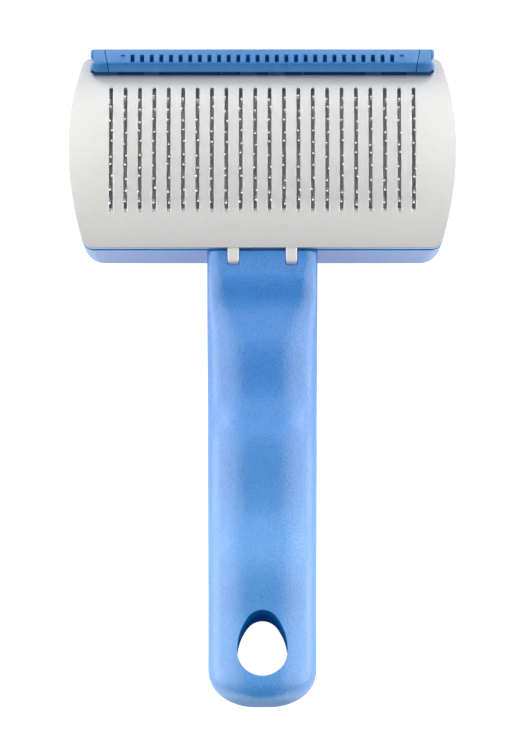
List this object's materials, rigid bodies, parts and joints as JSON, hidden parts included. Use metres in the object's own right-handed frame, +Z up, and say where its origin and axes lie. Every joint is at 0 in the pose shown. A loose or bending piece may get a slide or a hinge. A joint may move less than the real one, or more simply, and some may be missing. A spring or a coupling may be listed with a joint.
{
  "type": "slicker brush",
  "caption": "Self-cleaning slicker brush for pets: bent wire pins stand through a slotted arched steel plate that lifts on a hinge at the grooved handle to strip off hair.",
  "frame": {"origin": "centre of the bounding box at the table, with the brush lying on its back", "axes": "+Z up, the way the pins point; +Y from the handle towards the head; +X across the head"},
  "size_m": [0.1048, 0.1782, 0.032],
  "materials": {
    "blue_plastic": "satin",
    "grey_plastic": "matte",
    "rubber_pad": "matte",
    "plate_steel": "satin",
    "pin_wire": "bright",
    "bright_steel": "bright"
  },
  "bodies": {
    "body": {"body_shell": "blue_plastic", "handle_cover": "blue_plastic", "pin_base": "grey_plastic", "pin_pad": "rubber_pad", "hinge_rod": "bright_steel", "base_screws": "bright_steel", "cover_screws": "bright_steel", "pin_column_01": "pin_wire", "pin_column_02": "pin_wire", "pin_column_03": "pin_wire", "pin_column_04": "pin_wire", "pin_column_05": "pin_wire", "pin_column_06": "pin_wire", "pin_column_07": "pin_wire", "pin_column_08": "pin_wire", "pin_column_09": "pin_wire", "pin_column_10": "pin_wire", "pin_column_11": "pin_wire", "pin_column_12": "pin_wire", "pin_column_13": "pin_wire", "pin_column_14": "pin_wire", "pin_column_15": "pin_wire", "pin_column_16": "pin_wire", "pin_column_17": "pin_wire", "pin_column_18": "pin_wire", "pin_column_19": "pin_wire", "pin_column_20": "pin_wire", "pin_column_21": "pin_wire", "pin_column_22": "pin_wire"},
    "plate": {"stripper_plate": "plate_steel", "grip_rail": "blue_plastic", "rail_cap_left": "blue_plastic", "rail_cap_right": "blue_plastic"}
  },
  "joints": [
    {"name": "plate_lift", "type": "hinge", "parent": "body", "child": "plate", "pos_m": [0, 0.03125, 0.01805], "axis": [1, 0, 0], "range_deg": [0, 35]}
  ]
}
